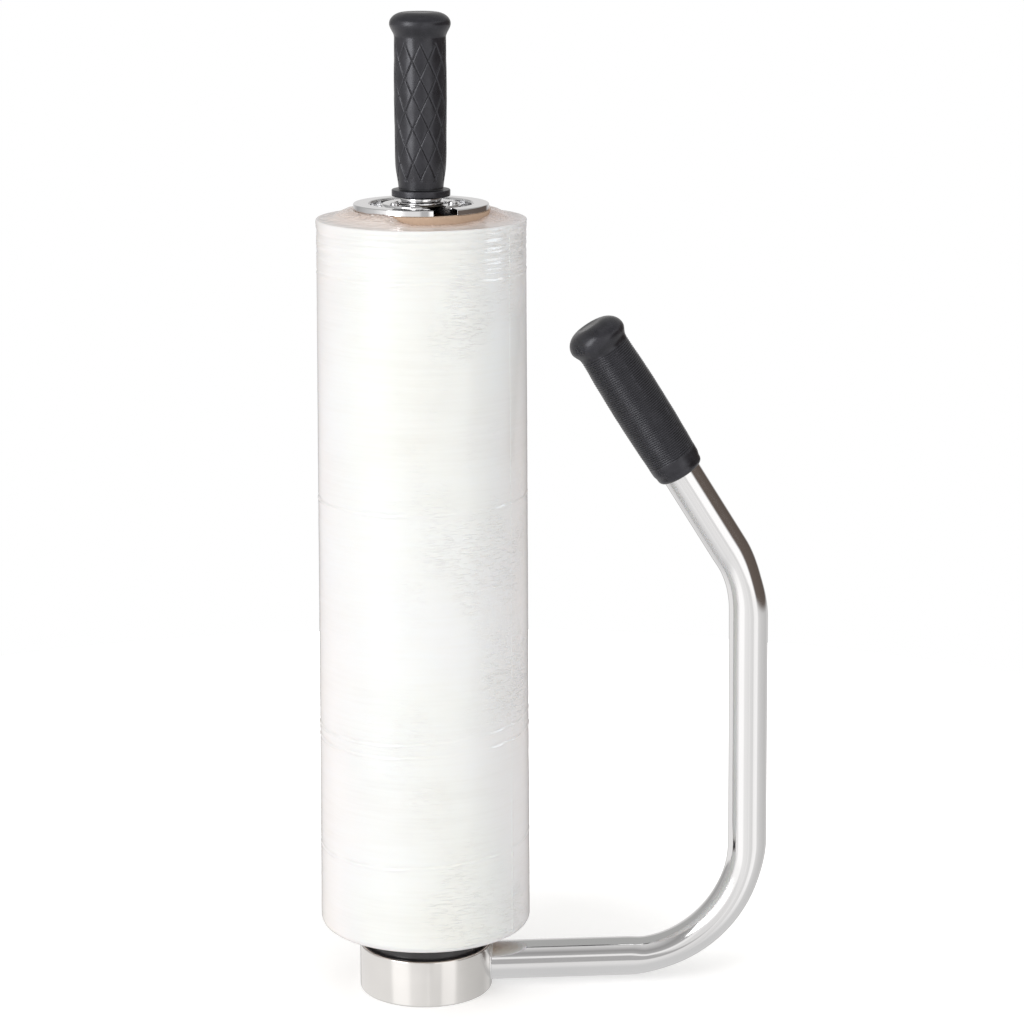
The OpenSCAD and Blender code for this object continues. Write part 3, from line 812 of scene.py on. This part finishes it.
def world():
    w = bpy.data.worlds.new("studio")
    bpy.context.scene.world = w
    w.use_nodes = True
    w.node_tree.nodes.clear()
    s = Nodes(w.node_tree)

    def share(value, start, end):
        """0 at start, 1 at end."""
        return s.node("ShaderNodeMapRange", Value=value, From_Min=start, From_Max=end).outputs[0]

    def bands(value, stops):
        """Greys by brightness, with the darkest turned brown."""
        first, last = stops[0][0], stops[-1][0]
        tones = []
        for place, level in stops:
            warm = 0.80 if level < 0.3 else 0.985
            tone = (level, level * warm, level * warm ** 1.7)
            tones.append(((place - first) / (last - first), tone))
        return s.ramp(value, tones)

    def background(colour):
        return s.node("ShaderNodeBackground", Color=colour).outputs[0]

    def choose(factor, first, second):
        node = s.node("ShaderNodeMixShader")
        s.set(node, {0: factor, 1: first, 2: second})
        return node.outputs[0]

    direction = s.node("ShaderNodeTexCoord").outputs["Generated"]
    x, y, height = s.node("ShaderNodeSeparateXYZ", Vector=direction).outputs
    around = share(s.math("ARCTAN2", y, x), -pi, pi)
    over = bands(share(height, OVERHEAD_BANDS[0][0], OVERHEAD_BANDS[-1][0]), OVERHEAD_BANDS)
    over = s.mix(share(y, *FRONT_TO_BACK), over, BACK_OVERHEAD)
    low_row, middle_row = bands(around, LOW_BANDS), bands(around, MIDDLE_BANDS)
    sky = s.mix(share(height, *LOW_TO_MIDDLE), low_row, middle_row)
    sky = s.mix(share(height, *MIDDLE_TO_OVERHEAD), sky, over)
    sky = s.mix(share(height, *LOW_TO_GROUND), sky, GROUND)
    ray = s.node("ShaderNodeLightPath")
    # Only polished surfaces see the bands; everything else is lit evenly
    lit = choose(ray.outputs["Is Glossy Ray"], background(EVEN_LIGHT), background(sky))
    seen = choose(ray.outputs["Is Camera Ray"], lit, background(BACKDROP))
    s.node("ShaderNodeOutputWorld", Surface=seen)


def area_light(name, bearing, height, distance, size, power, only=""):
    """only: "diffuse" for a light that nothing mirrors, "glossy" for one that just gives glints."""
    data = bpy.data.lights.new(name, "AREA")
    data.shape = "RECTANGLE"
    data.size, data.size_y = size
    data.energy = power
    lamp = bpy.data.objects.new(name, data)
    bpy.context.scene.collection.objects.link(lamp)
    target = Vector((0.05, 0, 0.28))
    angle = radians(bearing)
    lamp.location = target + Vector((cos(angle) * distance, sin(angle) * distance, height))
    lamp.rotation_euler = (target - lamp.location).to_track_quat("-Z", "Y").to_euler()
    lamp.visible_glossy = only != "diffuse"
    lamp.visible_diffuse = only != "glossy"
    return lamp


def pale_floor():
    radius, sides = 0.9, 96
    # Just clear of the cup's underside
    level = -0.1 * MM
    mesh = bpy.data.meshes.new("floor")
    rim = [(radius * cos(a), radius * sin(a), level) for a in even(sides)]
    mesh.from_pydata(rim, [], [tuple(range(sides))])
    floor_object = bpy.data.objects.new("floor", mesh)
    bpy.context.scene.collection.objects.link(floor_object)
    s = Shader("pale_floor", Roughness=0.6, Specular_IOR_Level=0.2)
    away = s.node("ShaderNodeVectorMath", {"operation": "LENGTH"}, Vector=s.place).outputs["Value"]
    # The floor fades into the white backdrop, so that only the contact shadow shows
    fade = s.ramp(s.math("DIVIDE", away, radius), [(0.2, 0.35), (0.6, 1.0)])
    seen = s.node("ShaderNodeLightPath").outputs["Is Camera Ray"]
    tone = s.mix(s.noise(s.place, 3, 3), (0.90, 0.90, 0.90), (0.93, 0.93, 0.93))
    # From below the floor is clear, so that the cup's underside can be seen
    above = s.math("SUBTRACT", 1.0, s.geometry("Backfacing"))
    mesh.materials.append(s.out(Base_Color=tone, Alpha=above, Emission_Color=(1, 1, 1, 1),
                                Emission_Strength=s.math("MULTIPLY", fade, seen)))
    # The metal mirrors the studio's bands, not the floor
    floor_object.visible_glossy = False


def lights(film):
    """Soft studio lights, and one that only draws glints on the film."""
    area_light("key", -140, height=0.7, distance=2.2, size=(1.0, 1.7), power=22)
    area_light("fill", -48, height=0.1, distance=2.4, size=(0.7, 1.6), power=8, only="diffuse")
    area_light("top", -90, height=2.2, distance=0.6, size=(1.4, 1.4), power=5, only="diffuse")
    glints = area_light("glints", -8, height=0.5, distance=2.2, size=(0.9, 1.0), power=12,
                        only="glossy")
    only_film = bpy.data.collections.new("only_film")
    only_film.objects.link(film)
    glints.light_linking.receiver_collection = only_film


def camera():
    """In front of the tool, a little above it and to its left, looking down."""
    down, right = radians(12.743), radians(4.70)
    data = bpy.data.cameras.new("camera")
    data.lens = 105.5
    data.sensor_width = 36
    cam = bpy.data.objects.new("camera", data)
    cam.location = (-0.0958, -1.852, 0.7362)
    cam.rotation_euler = (pi / 2 - down, 0, -right)
    bpy.context.scene.collection.objects.link(cam)
    bpy.context.scene.camera = cam


paint_cad_nodes()
film = film_roll()
cup()
brake_spring()
side_arm()
arm_weld()
side_grip()
top_grip()
pale_floor()
world()
lights(film)
camera()
bpy.context.scene.view_settings.view_transform = "Standard"
